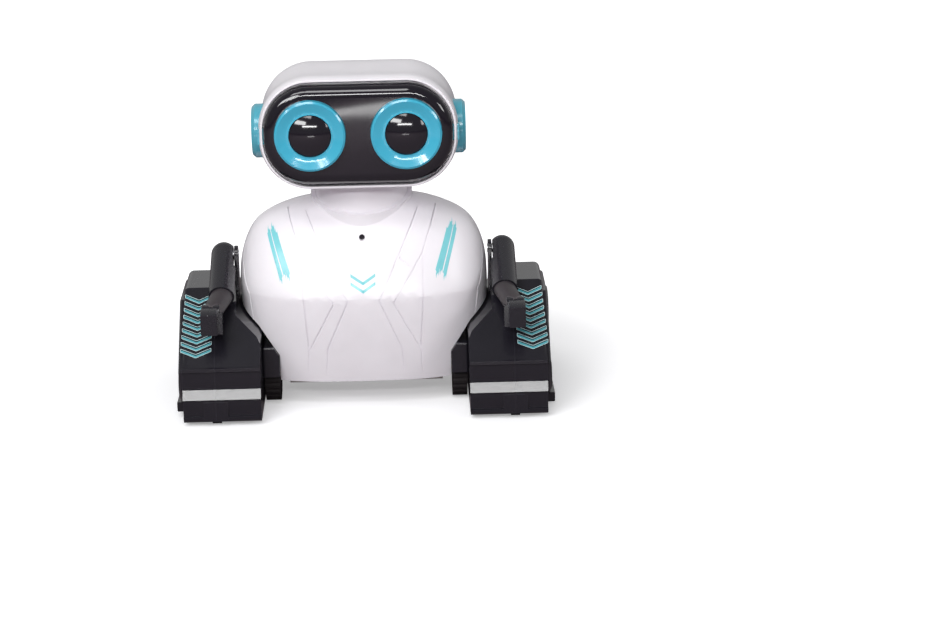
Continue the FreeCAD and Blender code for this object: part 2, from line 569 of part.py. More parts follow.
def roller(y):
    wheel = rod((COVER_SEAM - 1.5, y, ROLLER_R), X_AXIS, ROLLER_R, 3.0)
    pin = rod((COVER_SEAM - 3.1, y, ROLLER_R), X_AXIS, ROLLER_PIN_R, 6.2)
    return wheel.cut(rod((COVER_SEAM - 2, y, ROLLER_R), X_AXIS, ROLLER_PIN_R + RUN, 4)), pin


# ---------------------------------------------------------------- arms
def arm_rod(radius, length, x, back=0.0):
    """A rod along the arm, from `back` behind the shoulder pivot."""
    a = math.radians(ARM_DROP)
    axis = V(0, -math.cos(a), -math.sin(a))
    start = V(x, *SHOULDER) + axis * back
    return Part.makeCylinder(radius, length - back, start, axis)


def arm():
    """Upper arm, forearm, hand and shoulder pin of the robot's left side."""
    upper = join(arm_rod(ARM_R, ARM_LEN, ARM_X), Part.makeSphere(ARM_R, V(ARM_X, *SHOULDER)))
    upper = upper.cut(rod((PYLON_IN - 1, *SHOULDER), X_AXIS, 2 * ARM_R, PYLON_OUT + GAP - PYLON_IN + 1))
    upper = upper.cut(arm_rod(ARM_R - 0.7, ARM_LEN + 1, ARM_X, ARM_LEN - 3.0))
    upper = upper.cut(arm_rod(1.9, ARM_LEN, ARM_X, 9.0))
    upper = upper.cut(rod((PYLON_IN, *SHOULDER), X_AXIS, PIN_R + RUN, 5.4))
    pin = rod((PYLON_IN - 0.2, *SHOULDER), X_AXIS, PIN_R, 5.4)
    tail = arm_rod(1.9 - RUN, ARM_LEN - 2.4, ARM_X, 10.0)
    collar_end = arm_rod(ARM_R - 0.7 - GAP, ARM_LEN + 0.6, ARM_X, ARM_LEN - 2.6)
    a, s = math.radians(ARM_DROP - 4), math.radians(FORE_SPLAY)
    root = V(ARM_X, *SHOULDER) + V(0, -math.cos(math.radians(ARM_DROP)), -math.sin(math.radians(ARM_DROP))) * ARM_LEN
    way = V(math.sin(s), -math.cos(s) * math.cos(a), -math.cos(s) * math.sin(a))
    stem = Part.makeCone(FORE_R + 0.15, FORE_R - 0.25, FORE_LEN, root - way * 0.6, way)
    stem = stem.fuse(Part.makeSphere(FORE_R + 0.15, root - way * 0.6))
    room = arm_rod(ARM_R + 1, ARM_LEN, ARM_X, ARM_LEN - 8)
    stem = join(stem.cut(room), collar_end.common(arm_rod(ARM_R, ARM_LEN + 0.6, ARM_X)), tail)
    wrist = root + way * (FORE_LEN - 1.0)
    knuckle = Part.makeCylinder(2.9, 5.6, wrist + V(-2.8, 0, 0.2), X_AXIS)
    x, y, z = wrist.x, wrist.y, wrist.z
    palm = [(y + 1.0, z + 2.6), (y - 4.6, z + 2.3), (y - 6.6, z + 1.2), (y - 6.6, z - 5.6), (y - 1.6, z - 5.9),
            (y + 1.2, z - 1.0)]
    block = prism_x(palm, x - 2.4, x + 3.2)
    block = block.makeFillet(0.5, [e for e in block.Edges if e.BoundBox.XLength < 0.01])
    thumb = prism_x([(y + 1.0, z + 0.5), (y - 4.4, z + 1.6), (y - 5.2, z - 5.6), (y - 1.8, z - 6.2)], x - 3.8, x - 2.4)
    hand = join(block, thumb, knuckle)
    stem = join(stem.cut(hand), Part.makeCylinder(1.0, 4.0, wrist - way * 1.5, way).common(stem.fuse(hand)))
    hand = hand.cut(stem)
    return {"upper_arm": upper, "forearm": largest(stem), "hand": largest(hand), "shoulder_pin": pin}


# ---------------------------------------------------------------- head
def head_rows(wall=0.0):
    """Sections of the head: nearly straight sides, then a rounded back; wall moves them all inwards."""
    f, w, h, r = HEAD_FRONT, HEAD_HALF - wall, HEAD_HIGH - wall, 16.8 - wall
    rows = [(f - 2 * wall, w - 0.6, h - 0.6, r - 0.4), (f + 8, w - 0.1, h - 0.1, r), (f + 21, w, h, r)]
    turn_y, back, depth = 4.0, HEAD_BACK - wall, 11.0
    for k in range(1, 6):
        a = math.radians(17 * k)
        pull = depth * (1 - math.cos(a))
        rows.append((turn_y + (back - turn_y) * math.sin(a), w - pull, h - pull, r - pull))
    return rows


def pill_slab(y0, y1, half, high, radius):
    return Part.Face(pill_wire(y0, half, high, radius, HEAD_Z)).extrude(V(0, y1 - y0, 0))


def visor_solid():
    rows = [(HEAD_FRONT + 1.0, VISOR_HALF, VISOR_HIGH, VISOR_R)]
    for k in range(5):
        a = math.pi / 8 * k
        inset = VISOR_BLEND * (1 - math.cos(a))
        rows.append((VISOR_FACE + VISOR_ROUND * (1 - math.sin(a)), VISOR_HALF - inset, VISOR_HIGH - inset,
                     VISOR_R - inset))
    return pill_loft(rows, True)


def head():
    solid = pill_loft(head_rows())
    shell = solid.cut(pill_loft(head_rows(HEAD_WALL)))
    shell = shell.cut(rod((0, 0, 60), Z_AXIS, NECK_R + RUN, HEAD_FLOOR + 3 - 60))
    ledge = pill_slab(HEAD_FRONT + 2.5, HEAD_FRONT + 4.0, VISOR_HALF + 0.8, VISOR_HIGH + 0.8, VISOR_R + 0.8)
    ledge = ledge.cut(pill_slab(HEAD_FRONT - 1, HEAD_FRONT + 8, 28.0, 13.8, 12.4))
    shell = join(shell, ledge.common(solid))
    front_box = box(-FAR, FAR, -FAR, HEAD_SEAM_Y, 0, 200)
    front, rear = shell.common(front_box), shell.cut(front_box)
    frame_room = pill_slab(HEAD_FRONT - 9, HEAD_FRONT + 2.5, VISOR_HALF + 0.1, VISOR_HIGH + 0.1, VISOR_R + 0.1)
    front = front.cut(frame_room)
    visor = join(visor_solid(), pill_slab(HEAD_FRONT + 0.9, HEAD_FRONT + 2.5, VISOR_HALF, VISOR_HIGH, VISOR_R))
    visor = visor.cut(pill_slab(HEAD_FRONT - 1.4, HEAD_FRONT + 8, 27.6, 13.2, 12.0))
    rings, lenses = [], []
    for sx in (1, -1):
        centre = V(sx * EYE_X, 0, EYE_Z)
        f = VISOR_FACE
        ring = turned([(EYE_R, f), (EYE_R - 0.25, f - 1.5), (EYE_R - 0.9, f - 1.9), (PUPIL_R + 0.9, f - 0.75),
                       (PUPIL_R + 0.1, f - 0.9), (PUPIL_R + 0.1, f)], centre)
        rings.append(ring)
        lenses.append(dome(PUPIL_R, f, 2.0, centre))
    for sx in (1, -1):
        visor = visor.cut(rod((sx * EYE_X, -FAR, EYE_Z), Y_AXIS, 5.6, FAR))
    ears = []
    for sx in (1, -1):
        pod = Part.makeCone(EAR_R, EAR_R - 1.0, 1.1, V(sx * (EAR_OUT - 1.1), EAR_Y, EAR_Z), V(sx, 0, 0))
        trunk = rod((sx * (HEAD_HALF - 1.6), EAR_Y, EAR_Z), V(sx, 0, 0), EAR_R, EAR_OUT - HEAD_HALF + 0.5)
        x0, x1 = sorted((sx * (HEAD_HALF - 2.2), sx * (HEAD_HALF + 0.35)))
        tab = box(x0, x1, HEAD_FRONT + 1.0, EAR_Y, EYE_Z - 3.4, EYE_Z + 1.9)
        tab = tab.cut(frame_room)
        ears.append(join(pod, trunk, tab))
    for pod in ears:
        front, rear = front.cut(pod), rear.cut(pod)
    board = box(-24, 24, HEAD_FRONT + 6.0, HEAD_FRONT + 7.4, EYE_Z - 9, EYE_Z + 9)
    lamps = [rod((sx * EYE_X, HEAD_FRONT + 6.0, EYE_Z), V(0, -1, 0), 2.4, 3.4) for sx in (1, -1)]
    return {"head_front_shell": largest(front), "head_rear_shell": largest(rear), "visor": largest(visor),
            "eye_ring_left": rings[0], "eye_ring_right": rings[1], "eye_lens_left": lenses[0],
            "eye_lens_right": lenses[1], "ear_pod_left": ears[0], "ear_pod_right": ears[1],
            "eye_board": join(board, *lamps)}


def turned(profile, centre):
    """Solid turned about an axis along Y through the centre, from (radius, y) points."""
    points = [V(centre.x + r, y, centre.z) for r, y in profile]
    face = Part.Face(Part.makePolygon(points + points[:1]))
    return face.revolve(V(centre.x, 0, centre.z), Y_AXIS, 360)


def dome(radius, back, height, centre):
    """A shallow lens: part of a ball on a short rim."""
    ball = (radius ** 2 + height ** 2) / (2 * height)
    rim = 0.5
    sphere = Part.makeSphere(ball, V(centre.x, back - rim - height + ball, centre.z))
    stub = rod((centre.x, back - rim - height - 1, centre.z), Y_AXIS, radius, rim + height + 1)
    return sphere.common(stub)


# ---------------------------------------------------------------- the robot
def build():
    nodes = {}
    nodes["chest_shell"], nodes["back_shell"] = torso()
    nodes["neck_tube"], nodes["neck_clip"] = neck()
    nodes["power_switch"], case = switch()
    nodes["base_plate"] = join(base_plate(), case)
    nodes["battery_door"] = battery_door()
    nodes["battery_cells"], nodes["battery_contacts"], nodes["battery_door_screw"] = power()
    nodes["circuit_board"], nodes["chip_set"], nodes["speaker"], nodes["chest_sensor"] = electronics()
    outer, inner = side_cover()
    left = dict(drive(), track_outer=outer, track_inner=inner)
    left.update(arm())
    rollers = [roller(y) for y in roller_seats()]
    left["front_roller"], left["rear_roller"] = rollers[0][0], rollers[1][0]
    for name in ("gear_pin", "shoulder_pin", "wheel_guard"):
        nodes[name + "s"] = solids(*both(left.pop(name)))
    for name, shape in left.items():
        nodes[name + "_left"], nodes[name + "_right"] = both(shape)
    pins = [pin for _, pin in rollers]
    nodes["roller_pins"] = solids(*pins, *[mirrored(pin) for pin in pins])
    screws = [screw((COVER_IN + 9.0, y, z), X_AXIS, 13.0, 2.0) for y, z in track_screw_places()]
    nodes["track_screws"] = solids(*screws, *[mirrored(s) for s in screws])
    places = [place for pair in boss_places() for place in pair]
    reach = PLATE_Z1 - PLATE_Z0 + BOSS_HIGH - 1.2
    nodes["body_screws"] = solids(*[screw((x, y, PLATE_Z0), Z_AXIS, reach, 1.9) for x, y in places])
    nodes.update(head())
    return nodes


def save_all(nodes):
    whole = FreeCAD.BoundBox()
    for shape in nodes.values():
        whole.add(shape.optimalBoundingBox(False))
    shift = V(-whole.Center.x, -whole.Center.y, -whole.ZMin)
    print("shift", round(shift.x, 4), round(shift.y, 4), round(shift.z, 4))
    print("size", round(whole.XLength, 2), round(whole.YLength, 2), round(whole.ZLength, 2))
    os.makedirs("parts", exist_ok=True)
    for name, shape in nodes.items():
        shape = shape.translated(shift)
        assert shape.isValid(), name
        shape.exportStep("parts/" + name + ".step")


save_all(build())
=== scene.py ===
import json
import math

import bmesh
import bpy
from mathutils import Matrix, Vector
from mathutils.bvhtree import BVHTree


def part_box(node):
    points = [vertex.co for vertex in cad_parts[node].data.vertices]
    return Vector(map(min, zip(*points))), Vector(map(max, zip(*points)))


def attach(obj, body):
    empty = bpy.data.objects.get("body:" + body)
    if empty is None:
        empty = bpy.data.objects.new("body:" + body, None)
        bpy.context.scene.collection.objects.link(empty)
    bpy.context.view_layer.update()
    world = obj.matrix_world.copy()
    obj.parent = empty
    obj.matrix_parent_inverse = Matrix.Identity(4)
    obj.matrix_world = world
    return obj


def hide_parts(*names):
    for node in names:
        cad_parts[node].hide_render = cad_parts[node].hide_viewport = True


bl_info = {
    "name": "Toy Robot",
    "version": (1, 0, 0),
    "blender": (4, 5, 0),
    "location": "View3D > Sidebar > Toy Robot",
    "description": "Finishes a small rolling toy robot: shells, face, arms, side covers and printed marks",
    "category": "Object",
}

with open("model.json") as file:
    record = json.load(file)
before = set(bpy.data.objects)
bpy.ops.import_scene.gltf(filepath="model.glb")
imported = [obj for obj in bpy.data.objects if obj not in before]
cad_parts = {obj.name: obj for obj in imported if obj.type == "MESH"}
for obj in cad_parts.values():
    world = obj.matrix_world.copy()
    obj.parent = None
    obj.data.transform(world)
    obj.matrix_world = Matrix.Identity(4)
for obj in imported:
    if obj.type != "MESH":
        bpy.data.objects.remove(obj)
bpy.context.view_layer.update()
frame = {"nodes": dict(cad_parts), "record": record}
MM = 0.001


# ---------------------------------------------------------------- settings
def colour_prop(name, description, value):
    return bpy.props.FloatVectorProperty(
        name=name, description=description, subtype="COLOR", size=3, min=0, max=1, default=value)


def length_prop(name, description, value):
    return bpy.props.FloatProperty(
        name=name, description=description, subtype="DISTANCE", unit="LENGTH", precision=5, default=value)


def angle_prop(name, description, degrees):
    return bpy.props.FloatProperty(
        name=name, description=description, subtype="ANGLE", unit="ROTATION", default=math.radians(degrees))


def number_prop(name, description, value):
    return bpy.props.FloatProperty(name=name, description=description, default=value)


class PlasticSettings(bpy.types.PropertyGroup):
    """Colours and edge softness of the moulded plastic."""
    shell: colour_prop("Shell white", "Colour of the torso and head", (0.90, 0.872, 0.915))
    black: colour_prop("Cover black", "Colour of the side covers and arms", (0.012, 0.011, 0.016))
    visor: colour_prop("Visor black", "Colour of the face plate and pupils", (0.010, 0.008, 0.013))
    sleeve: colour_prop("Forearm grey", "Colour of the forearms", (0.045, 0.038, 0.042))
    blue: colour_prop("Eye blue", "Colour of the eye rings", (0.055, 0.43, 0.61))
    ear: colour_prop("Ear blue", "Colour of the ear pods", (0.085, 0.40, 0.51))
    tyre: colour_prop("Tyre black", "Colour of the tyres and rollers", (0.014, 0.011, 0.012))
    edge: length_prop("Edge radius", "How far the sharp edges of the covers are rounded", 0.00022)
    crease: angle_prop("Crease angle", "Edges sharper than this stay crisp", 32)


class PrintSettings(bpy.types.PropertyGroup):
    """The printed marks."""
    ink: colour_prop("Ink", "Colour of the chest marks", (0.22, 0.66, 0.72))
    fill: colour_prop("Cover ink", "Colour of the cover marks", (0.075, 0.36, 0.42))
    rim: colour_prop("Ink outline", "Colour of the pale outline of the cover marks", (0.62, 0.88, 0.90))
    lift: length_prop("Ink height", "How far the ink stands above the plastic", 0.00005)
    rows: bpy.props.IntProperty(name="Rows", description="Arrow marks on each cover", default=9)


class StageSettings(bpy.types.PropertyGroup):
    """Camera, floor and lights."""
    distance: length_prop("Camera distance", "From the camera to the robot", 0.85)
    azimuth: angle_prop("Azimuth", "How far the camera stands to the robot's left", 1.0)
    elevation: angle_prop("Elevation", "How far the camera looks down", 14.0)
    roll: angle_prop("Roll", "How far the camera leans", 1.8)
    lens: number_prop("Lens", "Focal length in mm", 97.97)
    floor: colour_prop("Floor", "Colour of the floor where the camera sees it", (0.90, 0.90, 0.92))
    bounce: colour_prop("Bounce", "Colour of the floor to all but the camera", (0.30, 0.26, 0.28))
    lift: number_prop("Floor lift", "Glow that whitens the floor by the robot", 0.34)
    front: number_prop("Front fill", "Room light in front of the robot", 0.17)
    back: number_prop("Back fill", "Room light behind the robot", 0.50)
    key: number_prop("Key", "Power of the key light in watts", 3.0)
    top: number_prop("Top", "Power of the top light in watts", 1.9)
    side: number_prop("Side", "Power of the side light in watts", 0.8)
    band: number_prop("Band", "Power of the low strip in watts", 0.05)
    strip: number_prop("Strip", "Power of the high strip in watts", 1.9)


def settings(name):
    return getattr(bpy.context.scene, name)


# ---------------------------------------------------------------- shader groups
# Sockets of a colour mix node, which share their names with its other kinds.
MIX_FACTOR, MIX_A, MIX_B, MIX_RESULT = 0, 6, 7, 2


def new_group(name, inputs, outputs):
    """An empty node group with float inputs (name, default) and outputs (name, socket type)."""
    group = bpy.data.node_groups.new(name, "ShaderNodeTree")
    for label, value in inputs:
        socket = group.interface.new_socket(name=label, in_out="INPUT", socket_type="NodeSocketFloat")
        socket.default_value = value
    for label, kind in outputs:
        group.interface.new_socket(name=label, in_out="OUTPUT", socket_type=kind)
    return group, group.nodes.new("NodeGroupInput"), group.nodes.new("NodeGroupOutput")


def math_node(tree, operation, a, b=None, c=None):
    node = tree.nodes.new("ShaderNodeMath")
    node.operation = operation
    for index, value in enumerate((a, b, c)):
        if value is None:
            continue
        if isinstance(value, (int, float)):
            node.inputs[index].default_value = value
        else:
            tree.links.new(value, node.inputs[index])
    return node.outputs[0]


def map_range(tree, value, low, high, to_low, to_high):
    """Eases value from to_low to to_high as it goes from low to high."""
    node = tree.nodes.new("ShaderNodeMapRange")
    node.interpolation_type = "SMOOTHSTEP"
    for key, number in (("From Min", low), ("From Max", high), ("To Min", to_low), ("To Max", to_high)):
        node.inputs[key].default_value = number
    tree.links.new(value, node.inputs["Value"])
    return node.outputs["Result"]


def noise(tree, vector, scale, detail):
    node = tree.nodes.new("ShaderNodeTexNoise")
    node.inputs["Scale"].default_value = scale
    node.inputs["Detail"].default_value = detail
    node.inputs["Roughness"].default_value = 0.55
    tree.links.new(vector, node.inputs["Vector"])
    return node.outputs["Fac"]


# Noise scales of the skin, per metre: handling smears, grain, moulding ripple, lint cells and patches
# of lint.
SMEAR_SCALE, GRAIN_SCALE, RIPPLE_SCALE, LINT_SCALE, PATCH_SCALE = 90.0, 1400.0, 45.0, 260.0, 60.0
# The size of a speck as a share of its cell, and the noise above which specks lie.
LINT_SIZE, LINT_FROM = 0.055, 0.56


def moulded_plastic_group():
    """Injection-moulded skin: a faint ripple, fine grain, handling smears and specks of lint."""
    group, inp, out = new_group(
        "Moulded skin",
        [("Roughness", 0.3), ("Smear", 0.05), ("Grain", 0.2), ("Lint", 0.0)],
        [("Roughness", "NodeSocketFloat"), ("Height", "NodeSocketFloat"), ("Tone", "NodeSocketFloat"),
         ("Specks", "NodeSocketFloat")])
    where = group.nodes.new("ShaderNodeTexCoord").outputs["Object"]
    broad = noise(group, where, SMEAR_SCALE, 3.0)
    fine = noise(group, where, GRAIN_SCALE, 2.0)
    ripple = noise(group, where, RIPPLE_SCALE, 1.0)
    smear = math_node(group, "MULTIPLY", math_node(group, "SUBTRACT", broad, 0.5), inp.outputs["Smear"])
    tiny = math_node(group, "MULTIPLY", math_node(group, "SUBTRACT", fine, 0.5), 0.06)
    rough = math_node(group, "ADD", inp.outputs["Roughness"], math_node(group, "ADD", smear, tiny))
    height = math_node(group, "ADD", math_node(group, "MULTIPLY", fine, inp.outputs["Grain"]), ripple)
    cells = group.nodes.new("ShaderNodeTexVoronoi")
    cells.inputs["Scale"].default_value = LINT_SCALE
    group.links.new(where, cells.inputs["Vector"])
    dot = math_node(group, "LESS_THAN", cells.outputs["Distance"], LINT_SIZE)
    patch = math_node(group, "GREATER_THAN", noise(group, where, PATCH_SCALE, 2.0), LINT_FROM)
    specks = math_node(group, "MULTIPLY", math_node(group, "MULTIPLY", dot, patch), inp.outputs["Lint"])
    tone = math_node(group, "MULTIPLY_ADD", broad, 0.10, 0.95)
    for value, name in ((rough, "Roughness"), (height, "Height"), (tone, "Tone"), (specks, "Specks")):
        group.links.new(value, out.inputs[name])
    return group


# How fast wear grows as an edge turns, and the scale of the noise that breaks it up, per metre.
WEAR_GAIN, WEAR_SCALE = 6.0, 300.0


def edge_wear_group():
    """Edges worn a little paler: the angle between the true normal and a widened one."""
    group, inp, out = new_group("Worn edges", [("Width", 0.0005), ("Amount", 0.4)],
                                [("Mask", "NodeSocketFloat")])
    bevel = group.nodes.new("ShaderNodeBevel")
    bevel.samples = 4
    group.links.new(inp.outputs["Width"], bevel.inputs["Radius"])
    geometry = group.nodes.new("ShaderNodeNewGeometry")
    dot = group.nodes.new("ShaderNodeVectorMath")
    dot.operation = "DOT_PRODUCT"
    group.links.new(bevel.outputs["Normal"], dot.inputs[0])
    group.links.new(geometry.outputs["Normal"], dot.inputs[1])
    turned = math_node(group, "SUBTRACT", 1.0, dot.outputs["Value"])
    spread = math_node(group, "MULTIPLY", turned, WEAR_GAIN)
    capped = math_node(group, "MINIMUM", spread, 1.0)
    where = group.nodes.new("ShaderNodeTexCoord").outputs["Object"]
    broken = math_node(group, "MULTIPLY", capped, noise(group, where, WEAR_SCALE, 4.0))
    group.links.new(math_node(group, "MULTIPLY", broken, inp.outputs["Amount"]), out.inputs["Mask"])
    return group


GROUPS = {}


def shared(name, maker):
    if name not in GROUPS:
        GROUPS[name] = maker()
    return GROUPS[name]


LINT_COLOUR = (0.45, 0.43, 0.45)
COAT_ROUGHNESS = 0.08
# How far light spreads under the skin (red, green, blue) and how high its relief stands, in metres.
SCATTER = (0.002, 0.0018, 0.0018)
RELIEF_HIGH = 0.0004


def plastic(name, colour, roughness, coat=0.0, grain=0.2, smear=0.05, lint=0.0, wear=0.0, bump=0.03,
            specular=0.5, subsurface=0.0):
    """A moulded plastic: base colour with tone, specks and worn edges, and a finely varied gloss."""
    material = bpy.data.materials.new(name)
    material.use_nodes = True
    tree = material.node_tree
    shader = tree.nodes["Principled BSDF"]
    shader.inputs["Specular IOR Level"].default_value = specular
    shader.inputs["Coat Weight"].default_value = coat
    shader.inputs["Coat Roughness"].default_value = COAT_ROUGHNESS
    shader.inputs["Subsurface Weight"].default_value = subsurface
    shader.inputs["Subsurface Radius"].default_value = SCATTER
    skin = tree.nodes.new("ShaderNodeGroup")
    skin.node_tree = shared("skin", moulded_plastic_group)
    for key, value in (("Roughness", roughness), ("Smear", smear), ("Grain", grain), ("Lint", lint)):
        skin.inputs[key].default_value = value
    tree.links.new(skin.outputs["Roughness"], shader.inputs["Roughness"])
    shade = tree.nodes.new("ShaderNodeMix")
    shade.data_type = "RGBA"
    shade.blend_type = "MULTIPLY"
    shade.inputs[MIX_FACTOR].default_value = 1.0
    shade.inputs[MIX_A].default_value = (*colour, 1)
    tree.links.new(skin.outputs["Tone"], shade.inputs[MIX_B])
    last = mix_colour(tree, shade.outputs[MIX_RESULT], LINT_COLOUR, skin.outputs["Specks"])
    if wear:
        edges = tree.nodes.new("ShaderNodeGroup")
        edges.node_tree = shared("edges", edge_wear_group)
        edges.inputs["Amount"].default_value = wear
        worn = [min(1, c * 3 + 0.03) for c in colour]
        last = mix_colour(tree, last, worn, edges.outputs["Mask"])
    tree.links.new(last, shader.inputs["Base Color"])
    relief = tree.nodes.new("ShaderNodeBump")
    relief.inputs["Strength"].default_value = bump
    relief.inputs["Distance"].default_value = RELIEF_HIGH
    tree.links.new(skin.outputs["Height"], relief.inputs["Height"])
    tree.links.new(relief.outputs["Normal"], shader.inputs["Normal"])
    return material


def mix_colour(tree, base, colour, mask):
    """Goes from the base socket's colour to a fixed one where the mask is 1."""
    node = tree.nodes.new("ShaderNodeMix")
    node.data_type = "RGBA"
    tree.links.new(mask, node.inputs[MIX_FACTOR])
    tree.links.new(base, node.inputs[MIX_A])
    node.inputs[MIX_B].default_value = (*colour, 1)
    return node.outputs[MIX_RESULT]


def metal(name, colour, roughness):
    material = plastic(name, colour, roughness, bump=0.08, smear=0.2)
    material.node_tree.nodes["Principled BSDF"].inputs["Metallic"].default_value = 1.0
    return material


def board_material():
    """Green circuit board with a pattern of paler tracks under the lacquer."""
    material = plastic("Circuit board", (0.02, 0.16, 0.07), 0.35)
    tree = material.node_tree
    brick = tree.nodes.new("ShaderNodeTexBrick")
    brick.inputs["Scale"].default_value = 420.0
    brick.inputs["Color1"].default_value = (0.02, 0.16, 0.07, 1)
    brick.inputs["Color2"].default_value = (0.03, 0.20, 0.09, 1)
    brick.inputs["Mortar"].default_value = (0.10, 0.30, 0.12, 1)
    brick.inputs["Mortar Size"].default_value = 0.03
    turn = tree.nodes.new("ShaderNodeMapping")
    turn.inputs["Rotation"].default_value = (math.pi / 2, 0, 0)
    tree.links.new(tree.nodes.new("ShaderNodeTexCoord").outputs["Object"], turn.inputs["Vector"])
    tree.links.new(turn.outputs["Vector"], brick.inputs["Vector"])
    tree.links.new(brick.outputs["Color"], tree.nodes["Principled BSDF"].inputs["Base Color"])
    return material


MATERIALS = {}


def material(name):
    """The finish called name, made the first time it is asked for."""
    if name in MATERIALS:
        return MATERIALS[name]
    p, ink = settings("robot_plastic"), settings("robot_print")
    makers = {
        "shell": lambda: plastic("Shell white", p.shell, 0.36, coat=0.12, grain=0.15, bump=0.02,
                                 subsurface=0.08),
        "black": lambda: plastic("Cover black", p.black, 0.20, coat=0.2, lint=0.5, wear=0.25, bump=0.03),
        "arm": lambda: plastic("Arm black", p.black, 0.27, coat=0.2, lint=0.3, wear=0.3, bump=0.04),
        "sleeve": lambda: plastic("Forearm grey", p.sleeve, 0.42, grain=0.6, bump=0.08, wear=0.5),
        "visor": lambda: plastic("Visor black", p.visor, 0.07, coat=0.35, grain=0.03, bump=0.006, smear=0.03),
        "pupil": lambda: plastic("Pupil black", p.visor, 0.10, coat=0.5, grain=0.03, bump=0.006, smear=0.03),
        "blue": lambda: plastic("Eye blue", p.blue, 0.16, coat=0.7, grain=0.05, bump=0.01),
        "ear": lambda: plastic("Ear blue", p.ear, 0.24, coat=0.4, grain=0.1, bump=0.02),
        "tyre": lambda: plastic("Tyre black", p.tyre, 0.75, grain=1.0, bump=0.15, smear=0.15, specular=0.3),
        "fill": lambda: plastic("Deep turquoise ink", ink.fill, 0.34, coat=0.2, smear=0.1),
        "ink": lambda: plastic("Turquoise ink", ink.ink, 0.34, coat=0.2, smear=0.1),
        "rim": lambda: plastic("Pale ink", ink.rim, 0.34, coat=0.2, smear=0.1),
        "steel": lambda: metal("Steel", (0.55, 0.55, 0.57), 0.35),
        "brass": lambda: metal("Brass", (0.70, 0.52, 0.22), 0.32),
        "gear": lambda: plastic("Gear nylon", (0.74, 0.72, 0.66), 0.4, grain=0.3),
        "chip": lambda: plastic("Component black", (0.02, 0.02, 0.022), 0.5, grain=0.8, bump=0.1),
        "cell": lambda: plastic("Cell sleeve", (0.03, 0.05, 0.10), 0.25, coat=0.5),
        "board": board_material,
    }
    MATERIALS[name] = makers[name]()
    return MATERIALS[name]


# ---------------------------------------------------------------- mesh helpers
def add_object(name, data):
    """A new object in the scene."""
    item = bpy.data.objects.new(name, data)
    bpy.context.scene.collection.objects.link(item)
    return item


def add_mesh(name, bm, finish):
    """Turns the bmesh into an object with the given material."""
    mesh = bpy.data.meshes.new(name)
    bm.to_mesh(mesh)
    bm.free()
    mesh.materials.append(finish)
    return add_object(name, mesh)


def new_piece(name, bm, finish, body, replaced=()):
    """Turns the bmesh into a piece of the robot, riding on a body."""
    piece = add_mesh(name, bm, material(finish))
    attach(piece, body)
    if replaced:
        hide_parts(*replaced)
    return piece


def body_of(node):
    for body, nodes in frame["record"]["behaviour"]["bodies"].items():
        if node in nodes:
            return body
    raise RuntimeError("no body holds " + node)


# Corners closer than this are one, and faces that turn less than this are one flat.
JOIN_WITHIN = 0.002 * MM
FLAT_WITHIN = math.radians(0.6)
# Edge radii in metres of pieces that differ from the covers' setting.
BASE_EDGE, EAR_EDGE, HAND_EDGE, GUARD_EDGE = 0.00015, 0.0003, 0.0002, 0.00015


def merged(node):
    """A bmesh of a CAD node with its loose triangles joined up."""
    bm = bmesh.new()
    bm.from_mesh(frame["nodes"][node].data)
    bmesh.ops.remove_doubles(bm, verts=bm.verts, dist=JOIN_WITHIN)
    return bm


def finished(node, finish, edge=0.0, flat=False):
    """A joined-up copy of a CAD node: smooth where it curves, crisp or rounded at its edges."""
    bm = merged(node)
    crease = settings("robot_plastic").crease
    if flat:
        bmesh.ops.dissolve_limit(bm, angle_limit=FLAT_WITHIN, verts=bm.verts, edges=bm.edges,
                                 delimit={"NORMAL"})
    for face in bm.faces:
        face.smooth = True
    for line in bm.edges:
        line.smooth = len(line.link_faces) == 2 and line.calc_face_angle(0) < crease
    piece = new_piece(node + "_finish", bm, finish, body_of(node), [node])
    if edge:
        bevel = piece.modifiers.new("Rounded edges", "BEVEL")
        bevel.width = edge
        bevel.segments = 2
        bevel.limit_method = "ANGLE"
        bevel.angle_limit = crease
        bevel.harden_normals = True
    weigh = piece.modifiers.new("Even normals", "WEIGHTED_NORMAL")
    weigh.keep_sharp = True
    return piece


def repaint(node, finish):
    """Keeps a CAD node as it is and gives it a finish."""
    mesh = frame["nodes"][node].data
    mesh.materials.clear()
    mesh.materials.append(material(finish))


def sides():
    return ("left", 1), ("right", -1)


def stroke(bm, points, rise):
    """A flat bent bar: its (x, z) points widened upwards by rise."""
    verts = [bm.verts.new((x, 0, z)) for x, z in points]
    lines = [bm.edges.new(pair) for pair in zip(verts, verts[1:])]
    lifted = bmesh.ops.extrude_edge_only(bm, edges=lines)["geom"]
    bmesh.ops.translate(bm, vec=(0, 0, rise), verts=[v for v in lifted if isinstance(v, bmesh.types.BMVert)])


def flat_outline(bm, points):
    """A flat face through (x, z) points in the plane y = 0."""
    bm.faces.new([bm.verts.new((x, 0, z)) for x, z in points])


MARK_CORNER = 0.28 * MM


def round_ends(bm):
    """Rounds the corners of flat marks."""
    corners = [v for v in bm.verts if len(v.link_edges) == 2]
    bmesh.ops.bevel(
        bm, geom=corners, offset=MARK_CORNER, segments=3, profile=0.5, affect="VERTICES", material=-1)


def point_faces(bm, outwards):
    """Turns every face so that its normal goes with outwards."""
    for face in bm.faces:
        face.normal_update()
        if face.normal.dot(outwards) < 0:
            face.normal_flip()


# ---------------------------------------------------------------- operators
class ROBOT_OT_shells(bpy.types.Operator):
    """White torso, neck and head shells"""
    bl_idname = "robot.shells"
    bl_label = "Shells"

    def execute(self, context):
        for node in ("chest_shell", "back_shell", "neck_tube", "head_front_shell", "head_rear_shell"):
            finished(node, "shell")
        for node in ("base_plate", "battery_door"):
            finished(node, "shell", edge=BASE_EDGE, flat=True)
        repaint("neck_clip", "shell")
        return {"FINISHED"}


